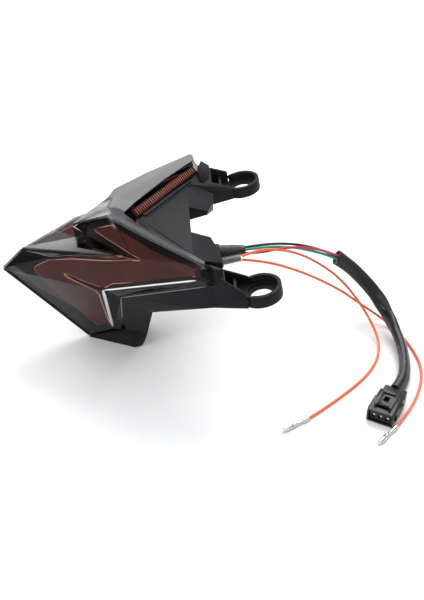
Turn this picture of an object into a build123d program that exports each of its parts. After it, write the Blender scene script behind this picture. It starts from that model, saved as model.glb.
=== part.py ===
from build123d import *
import math
import os

# Motorcycle LED tail light: swept delta wing with a smoked one-piece lens, gloss top cover,
# matte housing with two mounting ears, and its wiring harness.
# Frame: X across the light, -Y towards the lens tip, +Y towards the ears, +Z up. Millimetres.
# The origin is under the middle of the light, on the plane its chin stands on.

# ---------------------------------------------------------------- driving dimensions
LENS_T = 2.4            # wall of the lens
COVER_T = 2.4           # wall of the top cover
TRIM_T = 1.6            # top of the arrow trim plate over the valley floor
TRIM_GAP = 0.12         # adhesive under it
DIFF_IN, DIFF_OUT = 4.9, 3.1    # diffuser lies between these depths under the lens surface
BEZEL_IN, BEZEL_OUT = 6.7, 5.2  # black bezel sheet behind it
EAR_X, EAR_Y, EAR_Z = 84.6, 94.8, 95.5   # middle of each mounting hole
EAR_R = 16.2            # outer radius of the ear
EAR_H = 9.8             # height of the ear over its rim
EAR_FLOOR = 4.2         # thickness of the ear's floor
EAR_RIM = 2.8           # wall of the ear's raised rim
HOLE_R = 8.5            # mounting hole
RING_R = 10.9           # recessed seat round the mounting hole
TILT = 11.0             # lean of the hole's axis towards the rear, degrees
WIRE_D = 2.2            # single wire over its insulation
LOOM_D = 10.4           # vinyl loom sleeve
SLEEVE_D = 11.0         # heat-shrink sleeve at the housing
CLEAR_D = 6.6           # clear tube round the two indicator wires
BULLET_D = 4.0          # bullet terminal
BULLET_L = 25.4
CONN_L, CONN_W, CONN_H = 36.0, 21.0, 11.6   # three-way sealed connector body
CONN_PITCH = 5.6        # between the connector's cavities
LEVER_T = 1.6           # connector's lock lever
BOARD_IN, BOARD_OUT = 9.0, 7.6  # LED boards lie between these depths under the lens surface
LED_SIZE, LED_H = 3.0, 0.75     # LED chip

os.makedirs("parts", exist_ok=True)


# ---------------------------------------------------------------- small tools
def vec(p):
    return Vector(*p)


def mir(p):
    return (-p[0], p[1], p[2])


def solid_from(polys):
    faces = [Face(Wire.make_polygon([vec(p) for p in poly], close=True)) for poly in polys]
    s = Solid(Shell(faces))
    if s.volume < 0:
        s = Solid(Shell([Face(Wire.make_polygon([vec(p) for p in reversed(poly)], close=True)) for poly in polys]))
    return s


def hull(pts):
    """Closed convex solid round the points."""
    uniq = []
    for p in pts:
        if all((vec(p) - vec(q)).length > 1e-6 for q in uniq):
            uniq.append(tuple(float(c) for c in p))
    pts = uniq
    n = len(pts)
    seen, faces = set(), []
    for i in range(n):
        for j in range(i + 1, n):
            for k in range(j + 1, n):
                a, b, c = vec(pts[i]), vec(pts[j]), vec(pts[k])
                m = (b - a).cross(c - a)
                if m.length < 1e-7:
                    continue
                m = m.normalized()
                d = [m.dot(vec(p) - a) for p in pts]
                if max(d) > 1e-4 and min(d) < -1e-4:
                    continue
                if max(d) > 1e-4:
                    m = m * -1.0
                on = [q for q in range(n) if abs(d[q]) <= 1e-4]
                key = frozenset(on)
                if key in seen:
                    continue
                seen.add(key)
                mid = Vector(0, 0, 0)
                for q in on:
                    mid = mid + vec(pts[q])
                mid = mid * (1.0 / len(on))
                u = (vec(pts[on[0]]) - mid).normalized()
                w = m.cross(u)
                flat = sorted(((vec(pts[q]) - mid).dot(u), (vec(pts[q]) - mid).dot(w), q) for q in on)
                side = lambda o, p, q: (p[0] - o[0]) * (q[1] - o[1]) - (p[1] - o[1]) * (q[0] - o[0])
                ring = []
                for run in (flat, flat[::-1]):
                    chain = []
                    for p in run:
                        while len(chain) > 1 and side(chain[-2], chain[-1], p) < 1e-7:
                            chain.pop()
                        chain.append(p)
                    ring += chain[:-1]
                faces.append([pts[p[2]] for p in ring])
    return solid_from(faces)


def solve3(rows, rhs):
    """Least squares of a few plane equations, lightly damped."""
    a = [[0.0] * 3 for _ in range(3)]
    b = [0.0] * 3
    for r, h in zip(rows, rhs):
        for i in range(3):
            b[i] += r[i] * h
            for j in range(3):
                a[i][j] += r[i] * r[j]
    for i in range(3):
        a[i][i] += 0.02
    for i in range(3):
        p = a[i][i]
        for j in range(i + 1, 3):
            f = a[j][i] / p
            for k in range(3):
                a[j][k] -= f * a[i][k]
            b[j] -= f * b[i]
    x = [0.0] * 3
    for i in (2, 1, 0):
        x[i] = (b[i] - sum(a[i][k] * x[k] for k in range(i + 1, 3))) / a[i][i]
    return Vector(*x)


class Cage:
    """A faceted surface, symmetric about X = 0, that sheets of even thickness are cut from."""

    def __init__(self, verts, tris, inside=(0, 10, 70)):
        self.v = {}
        for k, p in verts.items():
            self.v[k] = vec(p)
            if abs(p[0]) > 1e-9:
                self.v[k + "_"] = vec(mir(p))
        m = lambda k: k + "_" if k + "_" in self.v else k
        self.t = []
        c = vec(inside)
        for t in tris:
            a, b, d = (self.v[k] for k in t)
            n = (b - a).cross(d - a)
            if n.dot((a + b + d) * (1 / 3) - c) < 0:
                t = (t[0], t[2], t[1])
            self.t.append(tuple(t))
            self.t.append((m(t[0]), m(t[2]), m(t[1])))
        self.n = {}
        for t in self.t:
            a, b, d = (self.v[k] for k in t)
            n = (b - a).cross(d - a).normalized()
            for k in t:
                self.n.setdefault(k, []).append(n)

    def move(self, k, depth):
        """Vertex k, this deep under the surface (negative is outside it)."""
        p = self.v[k]
        uniq = []
        for n in self.n[k]:
            if all((n - q).length > 1e-3 for q in uniq):
                uniq.append(n)
        d = solve3([(n.X, n.Y, n.Z) for n in uniq], [1.0] * len(uniq))
        if d.length > 2.0:
            d = d * (2.0 / d.length)
        q = p - d * depth
        if abs(p.X) < 1e-9:
            q = Vector(0, q.Y, q.Z)
        return q

    def sheet(self, outer, inner, only=None):
        tris = [t for t in self.t if only is None or only(t)]
        edges = {}
        for t in tris:
            for i in range(3):
                e = (t[i], t[(i + 1) % 3])
                if (e[1], e[0]) in edges:
                    del edges[(e[1], e[0])]
                else:
                    edges[e] = 1
        o = {k: tuple(self.move(k, outer)) for t in tris for k in t}
        n = {k: tuple(self.move(k, inner)) for t in tris for k in t}
        polys = [[o[k] for k in t] for t in tris]
        polys += [[n[k] for k in reversed(t)] for t in tris]
        for a, b in edges:
            polys.append([o[b], o[a], n[a]])
            polys.append([o[b], n[a], n[b]])
        return solid_from(polys)


def tube(route, dia, name):
    """Round cord along straight runs joined by tangent arcs, each arc as large as its runs allow."""
    pts = [vec(p) for p in route]
    radii = []
    for i in range(1, len(pts) - 1):
        a, b = pts[i] - pts[i - 1], pts[i + 1] - pts[i]
        turn = math.radians(a.get_angle(b))
        radii.append(0.45 * min(a.length, b.length) / math.tan(turn / 2))
    path = FilletPolyline(*pts, radius=radii)
    start = Plane(origin=pts[0], z_dir=(pts[1] - pts[0]))
    body = sweep(start * Circle(dia / 2), path=path)
    want = math.pi * dia * dia / 4 * path.length
    print(f"{name}: length {path.length:.1f} mm, smallest radius {min(radii):.1f} mm, "
          f"radii {[round(r) for r in radii]}, volume ratio {body.volume / want:.4f}")
    return body.solid() if hasattr(body, "solid") else body


def save(shape, name):
    export_step(shape, f"parts/{name}.step")


def mirrored(s):
    return mirror(s, about=Plane.YZ)


# ---------------------------------------------------------------- lens surface
LV = {
    "A": (0, -111.2, 72.4),      # rear tip
    "B": (0, -93.8, 90.0),       # point of the arrow
    "N": (0, -47.5, 91.7),       # front end of the valley floor
    "M": (0, -50.0, 109.2),      # under the nose of the cover
    "K": (0, -45.1, 1.0),        # bottom of the keel
    "Q1": (14.5, -20.9, 124.8), "Q2": (24.4, -15.8, 127.2), "T": (88.5, 49.0, 124.8),   # edge under the cover
    "M4": (50.0, -3.3, 108.0),   # end of the valley
    "R1": (22.0, -67.6, 95.0), "R2": (30.0, -51.0, 101.2), "R3": (40.0, -27.0, 104.8),  # ridge beside the valley
    "F": (12.4, -47.5, 91.7), "G": (31.0, -13.3, 99.0),                                # foot of the ridge's inner side
    "J": (44.0, -26.0, 76.0), "L": (89.0, 48.2, 112.2), "KM": (19.0, -21.8, 21.2),      # edge of the skirt
    "Jb": (43.0, -12.4, 68.0), "Lb": (88.0, 55.3, 106.0), "Kb": (17.5, -13.6, 17.5),    # foot of the skirt
    "W": (90.0, 60.8, 108.1),    # end of the wing
}
FRONT = [
    ("M", "Q1", "M4"), ("Q1", "Q2", "M4"), ("Q2", "T", "M4"),
    ("M4", "T", "L"), ("M4", "L", "J"),
    ("R3", "M4", "J"), ("R2", "R3", "J"), ("R1", "R2", "J"), ("A", "R1", "J"), ("A", "B", "R1"),
    ("A", "J", "KM"), ("A", "KM", "K"),
    ("B", "N", "F"), ("N", "G", "F"), ("N", "M4", "G"),
    ("B", "F", "R1"), ("R1", "F", "R2"), ("R2", "F", "G"), ("R2", "G", "R3"), ("R3", "G", "M4"),
    ("M", "M4", "N"),
]
FLOOR = [("B", "N", "F"), ("N", "G", "F"), ("N", "M4", "G")]
SKIRT = [
    ("J", "L", "Lb"), ("J", "Lb", "Jb"), ("KM", "J", "Jb"), ("KM", "Jb", "Kb"),
    ("T", "W", "L"), ("L", "W", "Lb"), ("K", "KM", "Kb"),
]
cage = Cage(LV, FRONT + SKIRT)
front_keys = {frozenset(t) for t in FRONT}
strip = lambda t: frozenset(k.rstrip("_") for k in t)
is_front = lambda t: strip(t) in front_keys

lens = cage.sheet(0.0, LENS_T)
inner_bezel = cage.sheet(BEZEL_OUT, BEZEL_IN, only=is_front)

# The red light guides are cut from a sheet under the lens by a prism of their Z outline.
D = Vector(0.7374, -0.5481, 0.3946).normalized()
E1 = Vector(0, 0, 1).cross(D).normalized()
E2 = D.cross(E1)
# Corners of the outline and the radius each is rounded to: top bar, diagonal, lower bar, and back along the notches.
Z_OUTLINE = [(-23.4, 92.1, 1.5), (-2.7, 101.0, 3), (22.5, 97.4, 0), (44.1, 94.0, 0), (87.3, 92.3, 2.2), (87.5, 87.5, 2.2), (48.4, 70.5, 0), (11.3, 56.8, 4),
             (3.7, 50.6, 4), (-15.2, 51.2, 0), (-27.7, 52.8, 0), (-33.5, 52.4, 0.8), (-27.7, 50.4, 0), (-4.4, 44.5, 4.5), (-8.0, 28.0, 0), (-10.1, 15.4, 0),
             (-12.0, 4.6, 5.5), (-25.4, 5.1, 3), (-48.8, 28.5, 8), (-61.0, 49.4, 5), (-41.2, 63.7, 6), (-24.6, 71.6, 4), (0.0, 76.9, 0), (25.5, 81.9, 0),
             (39.0, 83.9, 0.8), (24.6, 84.9, 0), (13.0, 86.6, 0), (-8.3, 89.6, 0)]


def rounded(outline, steps=4):
    """Polygon with each corner replaced by a short arc."""
    out = []
    n = len(outline)
    for i, (x, y, r) in enumerate(outline):
        p, a, b = Vector(x, y, 0), Vector(*outline[i - 1][:2], 0), Vector(*outline[(i + 1) % n][:2], 0)
        if not r:
            out.append((x, y))
            continue
        u, w = (a - p).normalized(), (b - p).normalized()
        half = math.acos(max(-1.0, min(1.0, u.dot(w)))) / 2
        cut = min(r / math.tan(half), (a - p).length * 0.45, (b - p).length * 0.45)
        mid = (u + w).normalized()
        centre = p + mid * (cut / math.cos(half))
        p0, p1 = p + u * cut, p + w * cut
        for k in range(steps + 1):
            q = (p0 - centre) * (1 - k / steps) + (p1 - centre) * (k / steps)
            q = centre + q.normalized() * (p0 - centre).length
            out.append((q.X, q.Y))
    return out



def prism(poly):
    pts = [E1 * a + E2 * b - D * 20 for a, b in poly]
    f = Face(Wire.make_polygon(pts, close=True))
    return Solid.extrude(f, D * 200)


diff_sheet = cage.sheet(DIFF_OUT, DIFF_IN, only=is_front)
right_half = Pos(60, 0, 60) * Box(116, 400, 300)
z_shape = prism(rounded(Z_OUTLINE))
z_cut = (diff_sheet & right_half) & z_shape
z_parts = sorted(z_cut.solids(), key=lambda s: -s.volume)
print("diffuser pieces", [round(s.volume) for s in z_parts])
z_right = z_parts[0]
save(z_right, "z_diffuser_right")
save(mirrored(z_right), "z_diffuser_left")

# The boards follow the guides' outline behind the bezel, with a row of LED chips down the middle of each bar.
board_sheet = cage.sheet(BOARD_OUT, BOARD_IN, only=is_front)
board_right = sorted(((board_sheet & right_half) & z_shape).solids(), key=lambda s: -s.volume)[0]
save(board_right, "led_board_right")
save(mirrored(board_right), "led_board_left")


def along(points, step):
    """Places spaced evenly along straight lines through the points."""
    out = []
    for (ax, ay), (bx, by) in zip(points, points[1:]):
        n = max(1, round(math.hypot(bx - ax, by - ay) / step))
        out += [(ax + (bx - ax) * i / n, ay + (by - ay) * i / n) for i in range(n)]
    return out + [points[-1]]


LED_ROWS = along([(-8.0, 95.4), (12.0, 92.4), (40.0, 89.5), (74.0, 88.0)], 10.0) + \
    along([(-46.0, 56.2), (-30.0, 60.5), (-4.0, 64.8), (26.0, 71.5)], 10.0) + along([(-41.0, 36.0), (-22.0, 24.0), (-16.0, 14.0)], 9.0)
led_sheet = cage.sheet(BOARD_OUT - LED_H, BOARD_OUT, only=is_front) & right_half
chips = []
for a, b in LED_ROWS:
    k = LED_SIZE / 2
    got = (led_sheet & prism([(a - k, b - k), (a + k, b - k), (a + k, b + k), (a - k, b + k)])).solids()
    if got:
        chips.append(sorted(got, key=lambda q: -q.volume)[0])
print("chips", len(chips), [round(c.volume, 1) for c in chips])
leds_right = Compound(chips)
save(leds_right, "leds_right")
save(mirrored(leds_right), "leds_left")

# ---------------------------------------------------------------- arrow trim on the valley floor
arrow_poly = [(0, -92.0), (11.6, -47.5), (20.6, -31.0), (29.6, -14.6), (28.6, -14.8), (17.0, -31.6), (6.2, -47.0), (0, -47.0)]
full = arrow_poly + [(-x, y) for x, y in reversed(arrow_poly[1:-1])]
plate = Solid.extrude(Face(Wire.make_polygon([Vector(x, y, 80) for x, y in full], close=True)), Vector(0, 0, 40))
floor_tris = [frozenset(t) for t in FLOOR]
arrow = None
for t in cage.t:
    if strip(t) in floor_tris:
        corners = [cage.v[k] for k in t]
        wedge = hull([(c.X, c.Y, c.Z + dz) for c in corners for dz in (TRIM_GAP, TRIM_T)]) & plate
        if wedge is not None:
            arrow = wedge if arrow is None else arrow + wedge
arrow = sorted(arrow.solids(), key=lambda s: -s.volume)[0]
print("arrow", round(arrow.volume), arrow.is_valid)
save(arrow, "arrow_trim")

# ---------------------------------------------------------------- top cover
CV = {
    "P": (0, -50.4, 111.9), "C": (0, -21.5, 127.9), "S": (0, -7.9, 120.7),
    "Q1": (14.5, -20.9, 127.4), "Q2": (24.4, -15.8, 129.9), "E2": (54.7, 12.8, 129.2), "T": (88.6, 48.4, 127.6),
    "U": (89.4, 51.4, 126.6), "F4": (83.2, 52.4, 124.6), "F2": (50.0, 26.4, 123.8), "F1": (16.5, 1.6, 121.2),
    "G1": (17.0, -10.5, 126.6), "G2": (52.0, 19.5, 127.6),
}
CT = [
    ("P", "Q1", "C"), ("Q1", "G1", "C"), ("Q1", "Q2", "G1"), ("C", "G1", "S"), ("G1", "F1", "S"),
    ("Q2", "E2", "G1"), ("E2", "G2", "G1"), ("G1", "G2", "F1"), ("G2", "F2", "F1"),
    ("E2", "T", "G2"), ("G2", "T", "F2"), ("T", "F4", "F2"), ("T", "U", "F4"),
]


def slab(verts, tris, drop):
    """Surface given a vertical thickness."""
    v = {}
    for k, p in verts.items():
        v[k] = p
        if abs(p[0]) > 1e-9:
            v[k + "_"] = mir(p)
    m = lambda k: k + "_" if k + "_" in v else k
    full_t = []
    for t in tris:
        a, b, c = (vec(v[k]) for k in t)
        if (b - a).cross(c - a).Z < 0:
            t = (t[0], t[2], t[1])
        full_t += [tuple(t), (m(t[0]), m(t[2]), m(t[1]))]
    e = {}
    for t in full_t:
        for i in range(3):
            q = (t[i], t[(i + 1) % 3])
            if (q[1], q[0]) in e:
                del e[(q[1], q[0])]
            else:
                e[q] = 1
    low = {k: (p[0], p[1], p[2] - drop) for k, p in v.items()}
    polys = [[v[k] for k in t] for t in full_t] + [[low[k] for k in reversed(t)] for t in full_t]
    for a, b in e:
        polys.append([v[b], v[a], low[a]])
        polys.append([v[b], low[a], low[b]])
    return solid_from(polys)


top_cover = slab(CV, CT, COVER_T)
save(top_cover, "top_cover")
under = slab(CV, CT, COVER_T + 1.6)
biggest = lambda shape: sorted(shape.solids(), key=lambda q: -q.volume)[0]
lens = biggest(lens - slab(CV, CT, COVER_T + 0.05) - arrow)
save(lens, "lens")
inner_bezel = biggest(inner_bezel - under - z_shape - mirrored(z_shape))
print("bezel", round(inner_bezel.volume), inner_bezel.is_valid)
save(inner_bezel, "inner_bezel")
# the seals that bed the lens's skirt in the housing, one down each side
skirt_keys = {frozenset(t) for t in SKIRT[:4]}
seal = cage.sheet(LENS_T + 0.05, LENS_T + 2.0, only=lambda t: strip(t) in skirt_keys and not any(k.endswith("_") for k in t))
seal = biggest(seal - under)
print("seal", round(seal.volume), seal.is_valid)
save(seal, "lens_seal_right")
save(mirrored(seal), "lens_seal_left")

# ---------------------------------------------------------------- ribbed upper light strips
# Each lies in the gutter between the cover's front edge and the housing, dropping towards the housing.
STRIP = [(9.0, -2.6, 118.0), (80.5, 50.6, 120.6), (76.0, 54.8, 116.6), (3.6, 2.8, 113.6)]
DROP = 3.2
strip_r = hull(STRIP + [(x, y, z - DROP) for x, y, z in STRIP])
strip_l = mirrored(strip_r)

# ---------------------------------------------------------------- housing
th = math.radians(TILT)
ear_axis = Vector(0, -math.sin(th), math.cos(th))


def both(s):
    return [s, mirrored(s)]


box_r = hull([(0, 1.5, 113), (5, 1.5, 113), (69, 45, 113), (0, 45, 113),
              (0, 1.5, 84), (5, 1.5, 84), (69, 45, 90), (0, 45, 84)])
BLOCK_TOP = [(20, 44.5, 113), (62, 44.5, 113), (56, 67.5, 105.5), (40, 66.5, 105.8), (21, 60.5, 108.0)]
block_r = hull(BLOCK_TOP + [(20, 44.5, 89), (21, 60.5, 89), (40, 66.5, 89), (56, 67.5, 89), (62, 44.5, 89)])
block_l = mirrored(hull(BLOCK_TOP + [(20, 44.5, 100.5), (21, 60.5, 104.5), (40, 66.5, 101.5), (56, 67.5, 89), (62, 44.5, 89)]))
end_r = hull([(90.5, 60.5, 108.6), (88.0, 58.5, 121.0), (84.5, 65.5, 118.0), (92.5, 66, 106.5), (68, 57, 112), (68, 64, 106), (78, 54.5, 118),
              (74, 60, 90), (90, 60, 90)])
wing_r = hull([(43, -12.4, 67.6), (88.6, 56.4, 106.2), (90.0, 61.6, 108.0), (87, 57.5, 118.0), (69, 45, 113), (5, 1.5, 113), (12, -8.5, 113),
               (48, 12.2, 56), (60, 18.1, 65.5), (85, 48.4, 84), (91, 60, 88.4), (64, 60, 88.4), (30, 14, 70)])
chin_r = hull([(0, -9.5, 92), (43.0, -12.4, 67.6), (48, 12.2, 56), (36, 9.7, 42), (22, 6.4, 14.6), (17.5, -13.6, 17.5), (0, -13.6, 12), (0, 12, 60), (0, 6.4, 14.6),
               (40, 14, 84), (0, 14, 92)])
foot_r = hull([(0, -43.6, 0), (1.6, -43.6, 0), (6, -26, 0), (10.9, -18, 0), (16.3, -10.3, 0), (19.3, -4.3, 0), (17.7, 1.7, 0.6), (14, 4, 2), (0, 5, 2),
               (17.5, -13.6, 17.5), (22, 6.4, 14.6), (0, 6.4, 14.6), (0, -40, 3.0), (0, -13.6, 17.5), (22.4, -3, 10)])
arm_r = hull([(90.5, 60.5, 108.6), (61, 60, 104.5), (62, 45, 112), (87, 57, 117), (99.6, 82, 104.2), (98.4, 84, 91.6), (91, 60, 88.3), (62, 58, 88.3),
              (69.4, 86, 92.2), (69.4, 86, 101.8)])
ear_c = Vector(EAR_X, EAR_Y, EAR_Z)
ear_base = ear_c - ear_axis * (EAR_FLOOR / 2)
ear_r = Solid.make_cylinder(EAR_R, EAR_H, Plane(origin=ear_base, z_dir=ear_axis))

outer = box_r + wing_r + chin_r + foot_r + arm_r + end_r + ear_r
print("housing hulls", [(round(s.volume), s.is_valid) for s in (box_r, block_r, block_l, wing_r, chin_r, foot_r, arm_r, end_r)], round(outer.volume))
# tray in the arm and ear, open upwards
tray_ear = Solid.make_cylinder(EAR_R - EAR_RIM, EAR_H, Plane(origin=ear_base + ear_axis * EAR_FLOOR, z_dir=ear_axis))
fl = lambda x, y: EAR_Z + EAR_FLOOR / 2 / math.cos(th) + (y - EAR_Y) * math.tan(th)
tray_arm = hull([(97.0, 84, fl(98, 84)), (97.0, 84, 125), (71.6, 86, fl(71, 86)), (71.6, 86, 125), (95.2, 96, fl(95, 96)), (95.2, 96, 125), (74, 96, fl(74, 96)), (74, 96, 125),
                 (90.5, 67.0, 95.5), (90.5, 67.0, 125), (71, 67.0, 95.5), (71, 67.0, 125)])
tray_rib = hull([(70, 74.0, 90), (70, 76.2, 90), (99, 74.0, 90), (99, 76.2, 90), (70, 74.0, 102.0), (70, 76.2, 102.0), (99, 74.0, 102.0), (99, 76.2, 102.0)])
hole = Solid.make_cylinder(HOLE_R, 60, Plane(origin=ear_c - ear_axis * 30, z_dir=ear_axis))
ring = Solid.make_cylinder(RING_R, 20, Plane(origin=ear_base + ear_axis * (EAR_FLOOR - 1.2), z_dir=ear_axis))
# hollow of the electronics box and of the chin, open towards the lens
cav_box = hull([(0, 4.5, 110), (5, 4.5, 110), (58, 41, 110), (0, 42.5, 110), (0, 4.5, 88), (5, 4.5, 88), (58, 41, 93), (0, 42.5, 88)])
cav_chin = hull([(0, -60, 88), (40, -60, 72), (14, -60, 12), (0, -60, 6), (40, 4, 72), (17, 1, 12), (0, 1, 6), (30, 9, 84), (0, 12, 84), (0, 8, 54)])
gut_r = hull([(x + dx, y + dy, z + dz) for (x, y, z), (dx, dy) in zip(STRIP, [(-1.2, -1.6), (1.6, -0.6), (1.0, 1.0), (-0.8, 0.8)]) for dz in (-DROP - 0.8, 14)])

h = outer
h = h - tray_ear - (tray_arm - tray_rib) - ring - hole
h = h - gut_r
housing = h + mirrored(h) + (block_r - gut_r) + (block_l - mirrored(gut_r))
housing = housing - (cav_box + mirrored(cav_box)) - (cav_chin + mirrored(cav_chin))
# room for the lens, its skirt and what lies behind it
room = cage.sheet(-1.0, 9.5)
housing = housing - room - lens - slab(CV, CT, COVER_T + 0.05) - seal - mirrored(seal)

# cable exit through the front face of the right-hand block
EXIT = Vector(27.0, 61.6, 97.4)
exit_dir = Vector(-0.04, 1.0, 0.02).normalized()
CLEAR_START, CLEAR_END = Vector(35.4, 58.0, 91.4), Vector(36.0, 84.5, 97.0)
clear_dir = (CLEAR_END - CLEAR_START).normalized()
rod = lambda p, d, r, h: Solid.make_cylinder(r, h, Plane(origin=p, z_dir=d))
housing = housing - rod(EXIT - exit_dir * 22, exit_dir, SLEEVE_D / 2 + 0.6, 26)
housing = housing - rod(CLEAR_START - clear_dir * 2, clear_dir, CLEAR_D / 2 + 0.4, 26)
BOOT_R, BOOT_R2 = SLEEVE_D / 2 + 1.1, CLEAR_D / 2 + 1.3
boot_in = rod(EXIT - exit_dir * 2.0, exit_dir, BOOT_R + 0.15, 20) + rod(CLEAR_START + clear_dir * 2.0, clear_dir, BOOT_R2 + 0.15, 20)
housing = biggest(housing - boot_in)
print("housing", round(housing.volume), housing.is_valid)
save(housing, "housing")
# the strips keep clear of everything round them
strip_r = biggest(strip_r - room - under)
save(strip_r, "upper_strip_right")
save(mirrored(strip_r), "upper_strip_left")

# ---------------------------------------------------------------- harness at the housing
sleeve_len = 35.6
sleeve_from = EXIT - exit_dir * 9.6
harness_sleeve = Solid.make_cylinder(SLEEVE_D / 2, 21.0, Plane(origin=sleeve_from, z_dir=exit_dir)) + \
    Solid.make_cone(SLEEVE_D / 2, 4.25, sleeve_len - 21.0, Plane(origin=sleeve_from + exit_dir * 21.0, z_dir=exit_dir))
harness_sleeve = biggest(harness_sleeve)
save(harness_sleeve, "harness_sleeve")
clear_sleeve = rod(CLEAR_START, clear_dir, CLEAR_D / 2, (CLEAR_END - CLEAR_START).length)
save(clear_sleeve, "clear_sleeve")
boot = rod(EXIT - exit_dir * 1.8, exit_dir, BOOT_R, 7.0) + rod(CLEAR_START + clear_dir * 2.2, clear_dir, BOOT_R2, 9.0)
boot = boot - rod(EXIT - exit_dir * 20, exit_dir, SLEEVE_D / 2 + 0.05, 60) - rod(CLEAR_START - clear_dir * 20, clear_dir, CLEAR_D / 2 + 0.05, 60)
boot = biggest(boot)
print("boot", round(boot.volume), boot.is_valid, len(boot.solids()))
save(boot, "wire_boot")

# ---------------------------------------------------------------- wires, loom and their ends
GREEN = [(26.9, 87.6, 98.9), (21.0, 101.7, 97.0), (15.3, 116.2, 93.6), (8.3, 131.3, 87.8), (1.1, 146.0, 79.6), (-5.6, 159.4, 71.3), (-10.4, 170.2, 63.3)]
BLACK = [(24.1, 87.6, 99.5), (18.2, 101.9, 97.9), (12.3, 116.5, 94.7), (4.7, 131.7, 88.9), (-3.3, 146.6, 80.5), (-9.9, 159.5, 71.9), (-13.5, 169.8, 63.9)]
RED = [(27.3, 87.6, 95.8), (24.8, 101.3, 94.4), (19.2, 115.4, 94.0), (12.6, 130.6, 91.2), (4.0, 145.4, 84.0), (-4.6, 159.8, 75.1), (-12.1, 171.4, 65.3)]
LOOM = [(-12.0, 170.3, 64.0), (-15.7, 182.1, 53.1), (-15.2, 194.5, 40.0), (-8.4, 206.6, 27.3), (5.4, 214.5, 16.4), (21.3, 218.7, 10.6),
        (36.8, 220.3, 8.2), (52.5, 220.1, 5.4), (69.7, 217.1, 5.3), (86.4, 211.7, 5.5), (98.5, 203.0, 5.8)]
ORANGE_A = [(35.3, 84.7, 98.3), (30.7, 97.8, 100.8), (25.8, 111.5, 97.7), (14.4, 127.1, 87.9), (2.1, 142.5, 74.2), (-7.3, 157.3, 59.5),
            (-12.1, 171.8, 45.0), (-9.4, 184.7, 30.7), (-0.9, 194.6, 18.2), (11.8, 201.7, 8.7), (30.6, 204.1, 3.3), (48.7, 199.4, 1.3),
            (68.1, 188.0, 1.3), (84.0, 173.4, 1.3), (99.2, 157.0, 1.3), (111.6, 142.3, 1.3), (121.4, 130.5, 2.1)]
ORANGE_B = [(36.6, 84.8, 95.7), (33.6, 99.0, 92.0), (29.2, 113.3, 85.5), (23.5, 128.2, 76.5), (16.4, 143.7, 65.0), (6.0, 159.7, 50.2),
            (-4.4, 176.0, 34.0), (-11.1, 190.3, 18.7), (-9.9, 203.5, 9.0), (0.4, 216.0, 3.9), (17.1, 225.9, 1.3), (38.9, 231.4, 1.3),
            (58.9, 233.1, 1.3), (78.5, 229.7, 1.3), (97.7, 221.8, 1.3), (113.7, 212.5, 1.3), (126.1, 203.4, 1.3), (134.8, 196.7, 2.1)]
for route, dia, name in ((GREEN, WIRE_D, "wire_green"), (BLACK, WIRE_D, "wire_black"), (RED, WIRE_D, "wire_red"), (LOOM, LOOM_D, "loom_sleeve"),
                         (ORANGE_A, WIRE_D, "wire_orange_right"), (ORANGE_B, WIRE_D, "wire_orange_left")):
    save(tube(route, dia, name), name)

# bullet terminals, crimped on the orange wires and lying on the same plane as the chin
for end, tip, name in ((ORANGE_A[-1], (133.8, 109.6, 2.1), "bullet_terminal_right"), (ORANGE_B[-1], (153.7, 178.3, 2.1), "bullet_terminal_left")):
    d = (vec(tip) - vec(end)).normalized()
    r = BULLET_D / 2
    profile = [(0, 0), (1.75, 0), (1.95, 0.5), (1.95, 5.6), (1.35, 6.6), (1.35, 12.6), (1.7, 13.4), (1.7, 14.6), (1.3, 15.4), (r, 16.4), (r, 22.6),
               (1.55, 24.6), (0.7, BULLET_L), (0, BULLET_L)]
    face = Face(Wire.make_polygon([Vector(a, 0, b) for a, b in profile], close=True))
    body = revolve(face, axis=Axis.Z)
    at = Plane(origin=vec(end), z_dir=d)
    save(at * body, name)

# three-way connector at the end of the loom, standing on the same plane
CONN_AT = vec(LOOM[-1])
conn_dir = Vector(0.848, -0.53, 0).normalized()
conn = Plane(origin=CONN_AT, x_dir=conn_dir, z_dir=Vector(0, 0, 1))


def block(x0, x1, w, z0, z1, y=0.0):
    """Box in the connector's own frame: X forwards, Z up."""
    return Pos((x0 + x1) / 2, y, (z0 + z1) / 2) * Box(x1 - x0, w, z1 - z0)


HH = CONN_H / 2
shell = block(0, 9, CONN_W - 2.4, -HH, HH - 1.6) + block(9, CONN_L, CONN_W, -HH, HH)
shell = chamfer(shell.edges().filter_by(Axis.X), 1.0)
shell = shell + block(7.0, 9.6, CONN_W - 0.4, -HH, HH - 0.8)
RAIL_Y, PIVOT_X, PIVOT_Z = 5.9, 29.0, HH + 1.9
for q in (-1, 1):
    shell = shell + block(13.0, 31.4, 1.8, HH - 0.5, HH + 3.3, q * RAIL_Y)
    shell = shell + block(14.0, 30.0, 1.6, -HH + 2.6, HH - 3.0, q * (CONN_W / 2 + 0.5))
PIN_R = 0.6
shell = shell - Pos(PIVOT_X, 0, PIVOT_Z) * Rot(90, 0, 0) * Cylinder(PIN_R + 0.06, 2 * RAIL_Y + 4)
shell = shell - block(-1, 4.2, CONN_W - 5.6, -HH + 1.5, HH - 3.2)                  # seat of the rear seal
shell = shell - block(CONN_L - 7.0, CONN_L + 1, CONN_W - 3.0, -HH + 1.5, HH - 1.5)   # mouth
for q in (-1, 0, 1):
    shell = shell - block(3.9, CONN_L - 6.9, 3.4, -2.2, 1.4, q * CONN_PITCH)        # terminal cavities
connector_housing = biggest(shell)
print("connector", round(connector_housing.volume), len(shell.solids()))
save(conn * connector_housing, "connector_housing")
seal3 = block(0.0, 4.0, CONN_W - 5.8, -HH + 1.6, HH - 3.3)
save(conn * seal3, "connector_seal")
retainer = block(CONN_L - 6.9, CONN_L - 1.2, CONN_W - 4.6, -HH + 2.3, HH - 2.3)
contacts = []
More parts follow.
